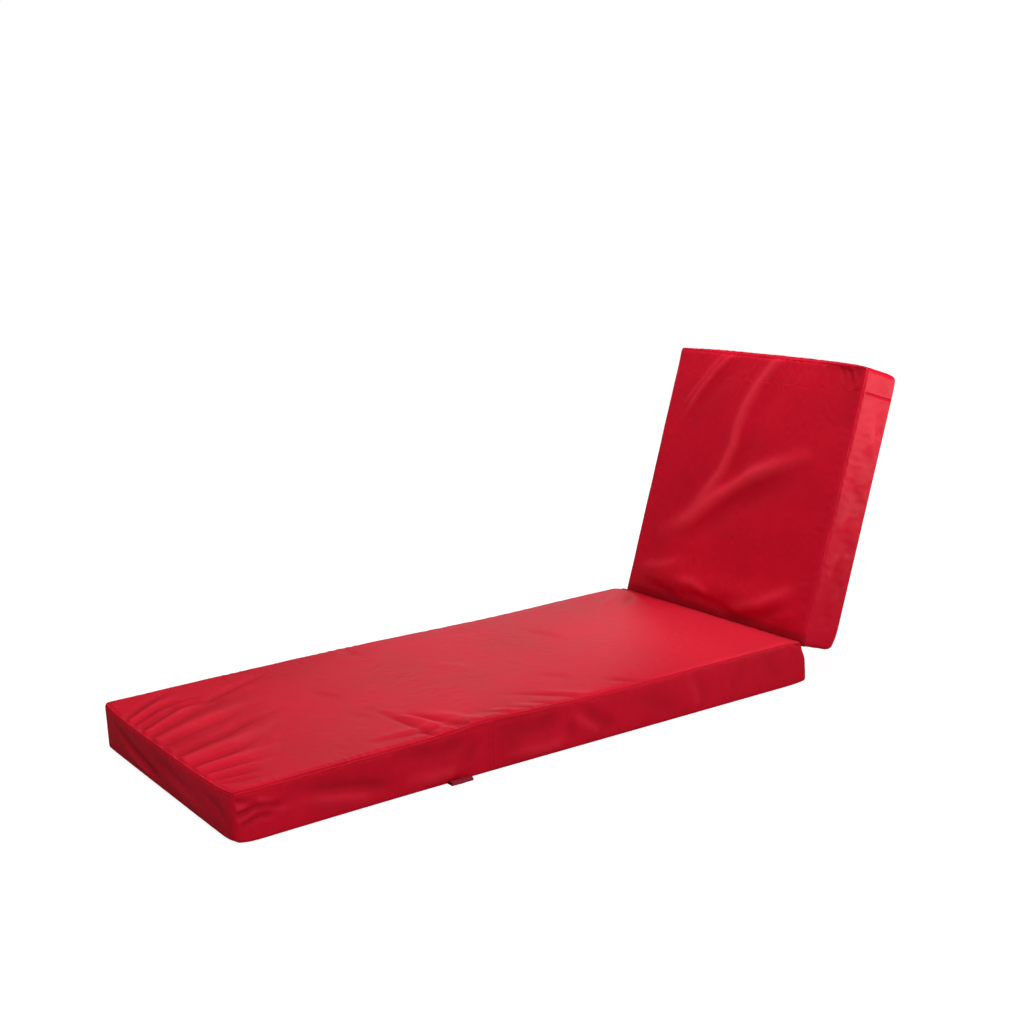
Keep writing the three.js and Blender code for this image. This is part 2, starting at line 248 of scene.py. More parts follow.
# The back pad's near band: up from the hinge, through from the rear face
BACK_NEAR_FOLDS = [
    (15, -3.4, 0.4, [(375, 60), (345, 58), (330, 34), (300, 26)]),
    (14, -3.2, 0.4, [(250, 44), (229, 34), (200, 20)]),
    (13, -3.2, 0.4, [(180, 52), (152, 39), (116, 26)]),
    (12, -3.0, 0.4, [(520, 30), (494, 20), (462, 14)]),
    (13, -2.8, 0.4, [(446, 58), (415, 34), (392, 24)]),
    (14, 2.4, 0.4, [(310, 50), (280, 62), (250, 74)]),
    (12, 2.4, 0.4, [(480, 40), (450, 34), (420, 60)]),
    (12, -2.4, 0.4, [(90, 60), (70, 44), (40, 30)]),
    (11, 2.2, 0.4, [(210, 50), (180, 66), (140, 66)]),
    (9, -2.0, 0.4, [(576, 60), (566, 36), (560, 18)]),
]
# The back pad's other faces, in the same directions
BACK_REAR_FOLDS = [
    (20, 4.0, 0.3, [(560, 60), (480, 20), (380, -10), (300, -60)]),
    (20, 3.6, 0.3, [(360, 200), (300, 120), (240, 40), (180, -60)]),
    (18, -2.8, 0.3, [(520, -80), (440, -120), (360, -190)]),
    (16, 2.6, 0.4, [(120, 230), (90, 120), (60, 20)]),
    (15, -2.2, 0.4, [(70, -60), (100, -160), (150, -250)]),
]
BACK_FAR_FOLDS = [
    (14, -3.0, 0.4, [(480, 60), (450, 44), (420, 24)]),
    (14, -2.8, 0.4, [(330, 64), (300, 40), (280, 20)]),
    (13, 2.2, 0.4, [(220, 60), (190, 44), (150, 30)]),
    (12, -2.6, 0.4, [(110, 64), (80, 44), (60, 20)]),
]
BACK_TOP_END_FOLDS = [
    (13, -2.6, 0.4, [(-180, 64), (-120, 44), (-80, 22)]),
    (12, 2.2, 0.4, [(-20, 66), (40, 46), (90, 30)]),
    (13, -2.4, 0.4, [(140, 62), (190, 40), (230, 22)]),
]


def smoothstep(x, low, high):
    t = np.clip((x - low) / (high - low), 0, 1)
    return t * t * (3 - 2 * t)


def fullness(position, span):
    """1 over the middle of a span, falling smoothly to 0 at its ends"""
    return 1 - np.clip(2 * position / span - 1, -1, 1) ** 4


def bell(distance, half_width):
    return np.exp(-((distance / half_width) ** 2))


def fold_height(folds, a, b, fade_from):
    """Height that a table of folds adds at places a, b of a panel"""
    height = np.zeros_like(a)
    for half_width, rise, start, line in folds:
        line = np.array(line) * MM
        steps = np.diff(line, axis=0)
        runs = np.concatenate([[0], np.cumsum(np.hypot(*steps.T))])
        nearest = np.full_like(a, np.inf)
        share = np.zeros_like(a)
        for (a0, b0), (along_a, along_b), run in zip(line, steps, runs):
            long = math.hypot(along_a, along_b)
            held = np.clip(((a - a0) * along_a + (b - b0) * along_b) / long**2, 0, 1)
            off = np.hypot(a - a0 - held * along_a, b - b0 - held * along_b)
            closer = off < nearest
            nearest = np.where(closer, off, nearest)
            share = np.where(closer, (run + held * long) / runs[-1], share)
        grown = start + (1 - start) * smoothstep(share, 0, 0.35)
        left = 1 - 0.85 * smoothstep(share, fade_from, 1)
        height += rise * MM * grown * left * bell(nearest, half_width * MM)
    return height


# The cover's cloth while it is blown up: how firmly the foam holds it, how slack it is cut, how
# far a wrinkle may move it, and the share of the wrinkles that is kept on each kind of panel
SEAT_CLOTH = {
    "foam": 0.35,
    "foam_stiffness": 1.0,
    "quality": 5,
    "bending": 0.4,
    "slack": 0.012,
    "slack_across": 0.02,
    "slack_reach": 260 * MM,
    "pressure": 4,
    "even_out": 60,
    "cap": 6 * MM,
    "top_gain": 0.6,
    "side_gain": 0.8,
    "end_gain": 0.35,
}
BACK_CLOTH = dict(SEAT_CLOTH, slack=0.015, slack_across=0.0, even_out=80, top_gain=0.8, end_gain=0.8)

# What differs between the pads, in metres where a comment doesn't say millimetres
SEAT = {
    "length": SEAT_LENGTH,
    # Stretches of the lattice along the pad, each up to where and in which steps
    "along": [
        (240 * MM, 7 * MM),
        (505 * MM, 9.8 * MM),
        (523 * MM, 1.5 * MM),
        (SEAT_LENGTH - EDGE_RADIUS, 9.8 * MM),
    ],
    "across_step": 8.6 * MM,
    "crown": 7 * MM,
    "under_crown": 0,
    "side_bow": 2.5 * MM,
    "end_bow": 2.5 * MM,
    "hinge_press": 9 * MM,
    "foot_middle_out": 6 * MM,
    "foot_middle_drop": 4 * MM,
    "sway": -11 * MM,
    "sway_stretch": 560 * MM,
    "hinge_dip": 5 * MM,
    "hinge_roll": 0,
    # Upright edges: end, side, how far the cover pulls it in and up, in millimetres
    "corners": [(0, -1, 5, 2.5), (1, -1, -4, 4)],
    # Upright seams of the near band: place, depth, width
    "cross_seams": [(510 * MM, 0.8 * MM, 1.4 * MM), (518 * MM, 0.8 * MM, 1.4 * MM)],
    # Rises and dips of the top edge: place, side, half width, height, in millimetres
    "edge_moves": [(540, -1, 120, 5), (500, -1, 60, 3), (900, 1, 220, -4)],
    "folds": {
        "top": SEAT_TOP_FOLDS,
        "near": SEAT_NEAR_FOLDS,
        "far": SEAT_FAR_FOLDS,
        "foot": SEAT_FOOT_FOLDS,
    },
    "fold_depth": 1.2,
    # Share of shade painted into the folds' troughs
    "fold_shade": 0.55,
    "fold_fade": 0.45,
    "gather_on_band": 0.4,
    # Shade painted in the hinge crease: its share, and the distances from the hinge over which it
    # fades out
    "crease_shade": 0.9,
    "crease_reach": (10 * MM, 36 * MM),
    # Share of the sheen painted on the seat's top before the hinge, near side most
    "sheen_painted_before_hinge": 0.75,
    "cloth": SEAT_CLOTH,
}
BACK = {
    "length": BACK_LENGTH,
    "along": [
        (540 * MM, 7.6 * MM),
        (550 * MM, 1.4 * MM),
        (BACK_LENGTH - EDGE_RADIUS, 7.6 * MM),
    ],
    "across_step": 7.6 * MM,
    "crown": 8 * MM,
    "under_crown": 8 * MM,
    "side_bow": 1.5 * MM,
    "end_bow": 8 * MM,
    "hinge_press": 0,
    "foot_middle_out": 0,
    "foot_middle_drop": 0,
    "sway": 0,
    "sway_stretch": 1,
    "hinge_dip": 0,
    "hinge_roll": 9 * MM,
    "corners": [(0, -1, 3, 5), (1, -1, 2.5, 0), (1, 1, -1.5, 0)],
    "cross_seams": [(545 * MM, 1.6 * MM, 1.8 * MM)],
    "edge_moves": [],
    "folds": {
        "top": BACK_FRONT_FOLDS,
        "under": BACK_REAR_FOLDS,
        "near": BACK_NEAR_FOLDS,
        "far": BACK_FAR_FOLDS,
        "head": BACK_TOP_END_FOLDS,
    },
    "fold_depth": 1.0,
    # Share of shade painted into the folds' troughs
    "fold_shade": 0.25,
    "fold_fade": 0.7,
    "gather_on_band": 0.2,
    # Shade painted in the hinge crease: its share, and the distances from the hinge over which it
    # fades out
    "crease_shade": 0.7,
    "crease_reach": (19 * MM, 34 * MM),
    "sheen_painted_before_hinge": 0,
    "cloth": BACK_CLOTH,
}


def from_hinge(pad, u):
    """Distance along a pad from its end at the hinge"""
    return pad["length"] - u if pad is SEAT else u


def from_free_end(pad, u):
    """Distance along a pad from its other end"""
    return u if pad is SEAT else pad["length"] - u


def pad_points(pad, sharp):
    """Places on the soft pad of places on its sharp box. The columns of sharp run along the pad
    from its foot or hinge end, across it, and up through its thickness."""
    half, r, length = WIDTH / 2, EDGE_RADIUS, pad["length"]
    u, v, w = sharp.T
    low = np.array([r, r - half, r])
    high = np.array([length - r, half - r, THICKNESS - r])
    core = np.clip(sharp, low, high)
    out = sharp - core
    out /= np.maximum(np.linalg.norm(out, axis=1), TINY)[:, None]
    point = core + r * out

    along, across = fullness(u, length), fullness(v + half, WIDTH)
    up = fullness(w, THICKNESS)
    crown = np.where(out[:, 2] > 0, pad["crown"], pad["under_crown"])
    point[:, 2] += out[:, 2] * crown * along * across
    point[:, 1] += out[:, 1] * pad["side_bow"] * up * along
    free_end = from_hinge(pad, u) > r + TINY
    point[:, 0] += free_end * out[:, 0] * pad["end_bow"] * up * across

    near_head = smoothstep(u, length - 5 * r, length - r)
    above_strip = smoothstep(w, THICKNESS / 2, THICKNESS - r)
    point[:, 0] -= pad["hinge_press"] * near_head * above_strip
    point[:, 2] -= pad["hinge_dip"] * near_head * above_strip

    near_foot = 1 - smoothstep(u, 0, 8 * r)
    lifted = point[:, 2] / THICKNESS
    point[:, 0] -= pad["foot_middle_out"] * near_foot * across * lifted
    point[:, 2] -= pad["foot_middle_drop"] * near_foot * across * lifted
    for place, side, half_width, height in pad["edge_moves"]:
        at_edge = smoothstep(v * side, half - 5 * r, half - r) * (out[:, 2] > 0)
        point[:, 2] += height * MM * at_edge * bell(u - place * MM, half_width * MM)
    # The back pad rolls out over the seat just above the hinge
    roll = pad["hinge_roll"] * bell(u - HINGE_ROLL_AT, HINGE_ROLL_REACH) * across
    point[:, 2] += roll * np.maximum(out[:, 2], 0)
    # The lower edges are filled out tighter than the upper ones
    slanting = 4 * out[:, 1] ** 2 * out[:, 2] ** 2 * (out[:, 2] < 0)
    point += out * (LOW_EDGE_FILL * slanting)[:, None]
    # The soft foam leaves some upright edges rounder than the seams, most of all at the bottom
    for end, side, pull, lift in pad["corners"]:
        near_corner = bell(np.hypot(u - end * length, v - side * half), CORNER_REACH)
        inward = pull * MM * near_corner * (1.25 - 0.5 * w / THICKNESS) * 0.7
        point[:, 0] += (1 - 2 * end) * inward
        point[:, 1] -= side * inward
        point[:, 2] += lift * MM * near_corner * (1 - smoothstep(w, 0, THICKNESS / 2))
    point[:, 1] += pad["sway"] * np.clip(1 - u / pad["sway_stretch"], 0, 1) ** 2
    return point


def into_scene(name, data):
    obj = bpy.data.objects.new(name, data)
    bpy.context.scene.collection.objects.link(obj)
    return obj


def smooth_mesh(name, points, faces):
    mesh = bpy.data.meshes.new(name)
    mesh.from_pydata(points, [], faces)
    mesh.polygons.foreach_set("use_smooth", [True] * len(faces))
    return mesh


def lay_flat(mesh, laid):
    """Gives every corner of every face its place in metres on the flat cut piece"""
    uv = mesh.uv_layers.new(name="Cloth")
    uv.data.foreach_set("uv", np.array(laid, np.float32).ravel())


def lattice_line(stretches, first_rows, last_rows):
    """Places along one direction: rows near both ends, and even steps over the stretches between"""
    line = list(first_rows)
    for end, step in stretches:
        start = line[-1]
        count = max(1, round((end - start) / step))
        line += [start + (end - start) * n / count for n in range(1, count + 1)]
    total = stretches[-1][0] + last_rows[-1]
    line += [total - row for row in reversed(last_rows[:-1])]
    return np.array(line)


def flat_underside(quad, last):
    """The middle of an underside that lies flat, as long strips between its rows of small quads"""
    first_row = len(EDGE_ROWS) - 1
    far_row = last[1] - first_row
    last_strip = last[0] - first_row - 1
    for i in range(last[0]):
        if i < first_row or i > last_strip:
            for j in range(first_row, far_row):
                quad("under", (i, j, 0), (i, j + 1, 0), (i + 1, j + 1, 0), (i + 1, j, 0))
        elif first_row < i < last_strip:
            ends = [(i, first_row, 0), (i, far_row, 0)]
            quad("under", *ends, (i + 1, far_row, 0), (i + 1, first_row, 0))
        else:
            # One side of this strip has all the corners of the small quads beside it
            by_foot = i == first_row
            edge, other = (i, i + 1) if by_foot else (i + 1, i)
            ring = [(edge, j, 0) for j in range(first_row, far_row + 1)]
            ring += [(other, far_row, 0), (other, first_row, 0)]
            quad("under", *(ring if by_foot else reversed(ring)))


# Which two of a place's directions, along, across and up, each panel lies in
PANEL_AXES = {
    "top": (0, 1),
    "under": (0, 1),
    "near": (0, 2),
    "far": (0, 2),
    "foot": (1, 2),
    "head": (1, 2),
}


def lattice_mesh(name, pad):
    """A closed mesh, nearly all quads, over the six panels of a pad. It keeps each corner's place
    on the sharp box, and lays each panel out flat in metres for the weave."""
    along = lattice_line(pad["along"], EDGE_ROWS, EDGE_ROWS)
    across = lattice_line([(WIDTH - EDGE_RADIUS, pad["across_step"])], EDGE_ROWS, EDGE_ROWS)
    up = lattice_line([(THICKNESS - BAND_TOP_ROWS[-1], BAND_STEP)], EDGE_ROWS, BAND_TOP_ROWS)
    last = (len(along) - 1, len(across) - 1, len(up) - 1)
    known, places, faces, panels = {}, [], [], []

    def corner(i, j, k):
        key = (i, j, k)
        if key not in known:
            known[key] = len(places)
            places.append((along[i], across[j] - WIDTH / 2, up[k]))
        return known[key]

    def quad(panel, *corners):
        faces.append([corner(*c) for c in corners])
        panels.append(panel)

    lies_flat = pad["under_crown"] == 0
    first_row = len(EDGE_ROWS) - 1
    for i in range(last[0]):
        for j in range(last[1]):
            ring = [(i, j), (i + 1, j), (i + 1, j + 1), (i, j + 1)]
            quad("top", *[(a, b, last[2]) for a, b in ring])
            if not (lies_flat and first_row <= j < last[1] - first_row):
                quad("under", *[(a, b, 0) for a, b in reversed(ring)])
    if lies_flat:
        flat_underside(quad, last)
    for k in range(last[2]):
        for i in range(last[0]):
            ring = [(i, k), (i + 1, k), (i + 1, k + 1), (i, k + 1)]
            quad("near", *[(a, 0, b) for a, b in ring])
            quad("far", *[(a, last[1], b) for a, b in reversed(ring)])
        for j in range(last[1]):
            ring = [(j, k), (j + 1, k), (j + 1, k + 1), (j, k + 1)]
            quad("foot", *[(0, a, b) for a, b in reversed(ring)])
            quad("head", *[(last[0], a, b) for a, b in ring])

    sharp = np.array(places)
    mesh = smooth_mesh(name, pad_points(pad, sharp).tolist(), faces)
    place = mesh.attributes.new("place", "FLOAT_VECTOR", "POINT")
    place.data.foreach_set("vector", sharp.astype(np.float32).ravel())
    lay_flat(mesh, [sharp[c][list(PANEL_AXES[p])] for f, p in zip(faces, panels) for c in f])
    return into_scene(name, mesh)


def read_vectors(store, key):
    """One vector for each point of a mesh, as the rows of an array"""
    out = np.empty(len(store) * 3, np.float32)
    store.foreach_get(key, out)
    return out.reshape(-1, 3).astype(float)


def corners_of(mesh):
    return read_vectors(mesh.vertices, "co")


def normals_of(mesh):
    return read_vectors(mesh.vertex_normals, "vector")


def places_of(mesh):
    return read_vectors(mesh.attributes["place"].data, "vector")


def set_corners(mesh, co):
    mesh.vertices.foreach_set("co", co.astype(np.float32).ravel())
    mesh.update()


def subdivide(obj):
    """Puts one subdivision on an object and makes it final"""
    finer = obj.modifiers.new("Finer", "SUBSURF")
    finer.levels = finer.render_levels = 1
    finer.uv_smooth = "NONE"
    graph = bpy.context.evaluated_depsgraph_get()
    graph.update()
    mesh = bpy.data.meshes.new_from_object(obj.evaluated_get(graph), depsgraph=graph)
    old = obj.data
    obj.modifiers.clear()
    obj.data = mesh
    mesh.name = old.name
    bpy.data.meshes.remove(old)


def from_seam(pad, place):
    """Distance from the seam round the top panel, and whether a place is on that panel"""
    u, v, w = place.T
    is_top = w > THICKNESS - TINY
    on_top = np.minimum(WIDTH / 2 - abs(v), from_free_end(pad, u))
    return np.where(is_top, np.maximum(on_top, 0), THICKNESS - w), is_top


def seam_run(pad, place):
    """Distance along the nearest stretch of the seam"""
    u, v, _ = place.T
    half = WIDTH / 2
    by_end = from_free_end(pad, u) < half - abs(v) - TINY
    return np.where(by_end, v + half + END_SEAM_START, u)


def gathering(pad, place):
    """How much the seam gathers the cloth: 1 is full. The back pad's long sides and the seat's
    last stretch before the hinge are smoother."""
    u, v, _ = place.T
    half = WIDTH / 2
    by_long_side = smoothstep(pad["length"] - u - (half - abs(v)), -6 * MM, 10 * MM)
    if pad is SEAT:
        by_long_side *= smoothstep(u, 620 * MM, 860 * MM)
    return 1 - (1 - pad["gather_on_band"]) * by_long_side


def seam_relief(pad, place):
    """The folded seam round the top panel, and the stitched-down allowance below it"""
    gap, is_top = from_seam(pad, place)
    run = seam_run(pad, place)
    gathered = gathering(pad, place)
    uneven = 0.8 + 0.35 * np.sin(run * 47 + 1) * np.sin(run * 19)
    ridge = SEAM_HEIGHT * uneven * bell(gap, SEAM_WIDTH) * (0.4 + 0.6 * gathered)
    groove = -GROOVE_DEPTH * bell(gap - GROOVE_FROM_SEAM, GROOVE_WIDTH)
    past_stitches = smoothstep(gap, STITCH_DROP - 1 * MM, STITCH_DROP + 1.5 * MM)
    allowance = ALLOWANCE_RISE * (1 - past_stitches)
    stitched = -STITCH_DENT * bell(gap - STITCH_DROP, STITCH_DENT_WIDTH)
    height = ridge + groove * gathered + np.where(is_top, 0, (allowance + stitched) * gathered)
    # Where the stitches gather the cloth it stands in small waves, deepest close to the seam
    waves = np.sin(run * 2 * math.pi / PUCKER_PITCH + 3 * np.sin(run * 31))
    waves *= 0.6 + 0.4 * np.sin(run * 23 + 2)
    waves *= gathered * smoothstep(gap, 0, 5 * MM) * (1 - smoothstep(gap, 8 * MM, 26 * MM))
    height += PUCKER_HEIGHT * waves
    return height * smoothstep(from_hinge(pad, place[:, 0]), 0, 10 * MM)


def cross_seams(pad, place):
    """The upright seams where the side band's ends are joined"""
    u, v, w = place.T
    on_near = v < TINY - WIDTH / 2
    full = smoothstep(w, 0, 8 * MM) * smoothstep(THICKNESS - w, STITCH_DROP, STITCH_DROP + 5 * MM)
    height = np.zeros_like(u)
    for at, depth, width in pad["cross_seams"]:
        height -= depth * bell(u - at, width)
        for side in (-1, 1):
            height += 0.4 * depth * bell(u - at + side * 2.2 * width, width)
    return height * on_near * full


def painted_crease_darkening(pad, place):
    """How much shade is painted on a place in the crease between the pads, from 0 to 1"""
    u, _, w = place.T
    on_top = smoothstep(w, THICKNESS - 12 * MM, THICKNESS - 2 * MM)
    in_crease = 1 - smoothstep(from_hinge(pad, u), *pad["crease_reach"])
    return pad["crease_shade"] * on_top * in_crease


def painted_hinge_sheen(pad, place):
    """How strongly a sheen is painted on the seat's top before the hinge, near side most"""
    u, v, w = place.T
    before_hinge = smoothstep(u, 800 * MM, 1120 * MM)
    near_side = 1 - smoothstep(v, -60 * MM, 240 * MM)
    return pad["sheen_painted_before_hinge"] * before_hinge * near_side * (w > THICKNESS - TINY)


def panel_folds(pad, place):
    """Height of the folds, panel by panel, faded out towards the seams"""
    u, v, w = place.T
    half = WIDTH / 2
    length = pad["length"]
    inside_top = smoothstep(np.minimum(half - abs(v), np.minimum(u, length - u)), -1 * MM, 12 * MM)
    inside_band = smoothstep(w, 0, 12 * MM) * smoothstep(THICKNESS - w, 2 * MM, 14 * MM)
    masks = {
        "top": (w > THICKNESS - TINY) * inside_top,
        "under": (w < TINY) * inside_top,
        "near": (v < TINY - half) * inside_band,
        "far": (v > half - TINY) * inside_band,
        "foot": (u < TINY) * inside_band,
        "head": (u > length - TINY) * inside_band,
    }
    height = np.zeros(len(u))
    for panel, folds in pad["folds"].items():
        fade_from = pad["fold_fade"] if panel == "top" else OTHER_FOLD_FADE
        a, b = (place[:, axis] for axis in PANEL_AXES[panel])
        height += masks[panel] * fold_height(folds, a, b, fade_from)
    return height * pad["fold_depth"]


def smoothed(field, edges, rounds):
    """The field averaged with its neighbours over the mesh's edges"""
    count = np.bincount(edges.ravel(), minlength=len(field))[:, None]
    for _ in range(rounds):
        total = np.zeros_like(field)
        np.add.at(total, edges[:, 0], field[edges[:, 1]])
        np.add.at(total, edges[:, 1], field[edges[:, 0]])
        field = 0.5 * (field + total / count)
    return field


def edges_of(mesh):
    out = np.empty(len(mesh.edges) * 2, np.int32)
    mesh.edges.foreach_get("vertices", out)
    return out.reshape(-1, 2)


def foam_hold(pad, place):
    """How firmly each place of the cover is held: wholly at the seams and on a flat underside"""
    u, v, w = place.T
    from_edge_top = np.minimum(WIDTH / 2 - abs(v), np.minimum(u, pad["length"] - u))
    on_face = (w > THICKNESS - TINY) | (w < TINY)
    from_edge = np.where(on_face, from_edge_top, np.minimum(w, THICKNESS - w))
    weight = np.where(from_edge < HELD_BY_SEAM, 1.0, pad["cloth"]["foam"])
    if pad["under_crown"] == 0:
        weight[w < TINY] = 1.0
    return weight


def slack_cut(pad, place, rest):
    """The cover's points as it was cut, a little wide towards the foot"""
    slack = pad["cloth"]["slack_across"]
    middle = rest.mean(0)[1]
    pull = 1 + slack * (1 - smoothstep(place[:, 0], 0, pad["cloth"]["slack_reach"]))
    cut = rest.copy()
    cut[:, 1] = middle + (rest[:, 1] - middle) * pull
    return cut


def slack_cover(obj, pad):
    """Lets the cover blow up over its foam as slack cloth, and keeps the wrinkles that come"""
    values = pad["cloth"]
    mesh = obj.data
    rest = corners_of(mesh)
    place = places_of(mesh)
    hold = obj.vertex_groups.new(name="Hold")
    weight = foam_hold(pad, place)
    for value in np.unique(weight):
        hold.add(np.flatnonzero(weight == value).tolist(), float(value), "REPLACE")
    obj.shape_key_add(name="Basis")
    cut = obj.shape_key_add(name="Cut")
    cut.data.foreach_set("co", slack_cut(pad, place, rest).astype(np.float32).ravel())
    cloth = obj.modifiers.new("Cloth", "CLOTH")
    settings = cloth.settings
    settings.quality = values["quality"]
    settings.mass = 0.2
    settings.tension_stiffness = settings.compression_stiffness = 25
    settings.shear_stiffness = 8
    settings.bending_stiffness = values["bending"]
    settings.air_damping = 2
    settings.vertex_group_mass = "Hold"
    settings.pin_stiffness = values["foam_stiffness"]
    settings.rest_shape_key = cut
    settings.shrink_min = -values["slack"]
    settings.use_pressure = True
    settings.uniform_pressure_force = values["pressure"]
    settings.effector_weights.gravity = 0
    cloth.collision_settings.use_collision = False
    cloth.collision_settings.use_self_collision = False
    cloth.point_cache.frame_start = 1
    cloth.point_cache.frame_end = SIM_FRAMES
    scene = bpy.context.scene
    for number in range(1, SIM_FRAMES + 1):
        scene.frame_set(number)
    graph = bpy.context.evaluated_depsgraph_get()
    blown = corners_of(obj.evaluated_get(graph).data)
    obj.modifiers.clear()
    obj.shape_key_clear()
    obj.vertex_groups.clear()
    scene.frame_set(1)
    # The swelling is taken away again, so that only the wrinkles stay
    moved = blown - rest
    moved -= smoothed(moved, edges_of(mesh), values["even_out"])
    travel = np.linalg.norm(moved, axis=1)
    capped = values["cap"] * np.tanh(travel / values["cap"]) / np.maximum(travel, TINY)
    u, _, w = place.T
    at_end = (u < TINY) | (u > pad["length"] - TINY)
    on_band = np.where(at_end, values["end_gain"], values["side_gain"])
    gain = np.where(w > THICKNESS - TINY, values["top_gain"], on_band)
    set_corners(mesh, rest + moved * (capped * gain)[:, None])


def finish_pad(obj, pad):
    """Subdivides a pad, lays on its folds and seams, and keeps what its cloth reads of them"""
    subdivide(obj)
    mesh = obj.data
    place = places_of(mesh)
    folds, joins = panel_folds(pad, place), cross_seams(pad, place)
    height = folds + seam_relief(pad, place) + joins
    set_corners(mesh, corners_of(mesh) + normals_of(mesh) * height[:, None])
    # Shade is painted into the cloth's colour in a fold's trough, in the grooves of the cross seams
    # and in the crease of the hinge, and sheen is painted on a ridge and on the seat's top before the
    # hinge
    relief = folds / FOLD_AT_FULL_PAINTED_LIGHT
    painted_shade_share = -relief * pad["fold_shade"] - 0.2 * joins / MM + painted_crease_darkening(pad, place)
    fields = {
        "from_seam": from_seam(pad, place)[0],
        "seam_run": seam_run(pad, place),
        "gathered": gathering(pad, place),
        "painted_shade_share": np.clip(painted_shade_share, 0, 1),
        "painted_sheen_share": np.clip(relief + painted_hinge_sheen(pad, place), 0, 1),
    }
    for name, values in fields.items():
        layer = mesh.attributes.new(name, "FLOAT", "POINT")
        layer.data.foreach_set("value", values.astype(np.float32))


# The camera stands where the photograph was taken from
CAMERA_AT = (-1.589, -2.6075, 1.066)
CAMERA_YAW = math.radians(33.397)
CAMERA_PITCH = math.radians(12.053)
CAMERA_ROLL = math.radians(-2.427)
FOCAL_PIXELS = 1578.0
PICTURE_PIXELS = 1024
SENSOR_MM = 36


def make_camera():
    ahead = Vector((math.sin(CAMERA_YAW), math.cos(CAMERA_YAW), 0))
    look = ahead * math.cos(CAMERA_PITCH) - Vector((0, 0, math.sin(CAMERA_PITCH)))
    level = Vector((math.cos(CAMERA_YAW), -math.sin(CAMERA_YAW), 0))
    upright = level.cross(look)
    right = math.cos(CAMERA_ROLL) * level + math.sin(CAMERA_ROLL) * upright
    above = -math.sin(CAMERA_ROLL) * level + math.cos(CAMERA_ROLL) * upright
    data = bpy.data.cameras.new("Camera")
    data.sensor_width = SENSOR_MM
    data.lens = SENSOR_MM * FOCAL_PIXELS / PICTURE_PIXELS
    data.clip_end = 200
    camera = into_scene("Camera", data)
    turn = Matrix((right, above, -look)).transposed().to_4x4()
    camera.matrix_world = Matrix.Translation(CAMERA_AT) @ turn
    bpy.context.scene.camera = camera


class Num:
    """A number in a node tree, worked on with the usual signs"""

    def __init__(self, tree, value):
        self.tree = tree
        self.value = value

    def maths(self, operation, *others, clamp=False):
        node = self.tree.nodes.new("ShaderNodeMath")
        node.operation = operation
        node.use_clamp = clamp
        for socket, item in zip(node.inputs, (self, *others)):
            put(self.tree, socket, item)
        return Num(self.tree, node.outputs[0])

    def __add__(self, other):
        return self.maths("ADD", other)

    __radd__ = __add__

    def __mul__(self, other):
        return self.maths("MULTIPLY", other)

    __rmul__ = __mul__

    def __sub__(self, other):
        return self.maths("SUBTRACT", other)

    def __rsub__(self, other):
        return (self * -1) + other

    def __abs__(self):
        return self.maths("ABSOLUTE")

    def sin(self):
        return self.maths("SINE")

    def exp(self):
        return self.maths("EXPONENT")

    def above(self, limit):
        return self.maths("GREATER_THAN", limit)

    def clamped(self):
        return self.maths("ADD", 0.0, clamp=True)


def put(tree, socket, item):
    """Sets a socket to a value, or links it to a socket or a number"""
    if isinstance(item, Num):
        item = item.value
    if isinstance(item, bpy.types.NodeSocket):
        tree.links.new(item, socket)
    else:
        socket.default_value = item


class Nodes:
    """The nodes of a material or of the room, made one by one"""

    def __init__(self, tree):
        self.tree = tree

    def node(self, kind, settings=None, sockets=None, **values):
        """A node with its settings made first, and its sockets filled by number or by name"""
        node = self.tree.nodes.new(kind)
        for key, value in (settings or {}).items():
            setattr(node, key, value)
        for key, value in (sockets or {}).items():
            put(self.tree, node.inputs[key], value)
        self.fill(node, values)
        return node

    def fill(self, node, values):
        for key, value in values.items():
            put(self.tree, node.inputs[key.replace("_", " ")], value)

    def num(self, socket):
        return Num(self.tree, socket)


class Finish(Nodes):
    """A material on Blender's principled shader"""

    def __init__(self, name):
        self.material = bpy.data.materials.new(name)
        self.material.use_nodes = True
        super().__init__(self.material.node_tree)
        self.shader = next(n for n in self.tree.nodes if n.type == "BSDF_PRINCIPLED")

    def flat_place(self):
        """A point's place on the flat cut piece"""
        return self.node("ShaderNodeUVMap", {"uv_map": "Cloth"}).outputs[0]

    def solid_place(self):
        """A point's place in the piece's own space"""
        return self.node("ShaderNodeTexCoord").outputs["Object"]

    def parts(self, vector):
        """The first two parts of a vector"""
        split = self.node("ShaderNodeSeparateXYZ", Vector=vector)
        return self.num(split.outputs[0]), self.num(split.outputs[1])

    def attribute(self, name):
        """A number that the mesh keeps for each of its points"""
        node = self.node("ShaderNodeAttribute", {"attribute_name": name})
        return self.num(node.outputs["Fac"])

    def noise(self, vector, scale, detail=2.0):
        values = {"Vector": vector, "Scale": scale, "Detail": detail}
        return self.num(self.node("ShaderNodeTexNoise", **values).outputs[0])

    def stretched(self, vector, scale):
        """A vector with each of its parts scaled"""
        sockets = {0: vector, 1: scale}
        return self.node("ShaderNodeVectorMath", {"operation": "MULTIPLY"}, sockets).outputs[0]

    def blend(self, share, first, second):
        """A colour between two, by share"""
        sockets = {0: share, 6: first, 7: second}
        return self.node("ShaderNodeMix", {"data_type": "RGBA"}, sockets).outputs[2]

    def bump(self, height, distance, under=None):
        """A relief of a height times a distance, on top of another one if there is one"""
        sockets = {} if under is None else {"Normal": under}
        return self.node("ShaderNodeBump", None, sockets, Height=height, Distance=distance).outputs[0]

    def set(self, **values):
        self.fill(self.shader, values)


CLOTH_DEEP = (0.42, 0.0007, 0.011, 1)
CLOTH_PALE = (0.69, 0.0020, 0.023, 1)
# Colour of the shade painted into folds, seam grooves and the hinge crease
CLOTH_PAINTED_SHADE = (0.26, 0.0004, 0.005, 1)
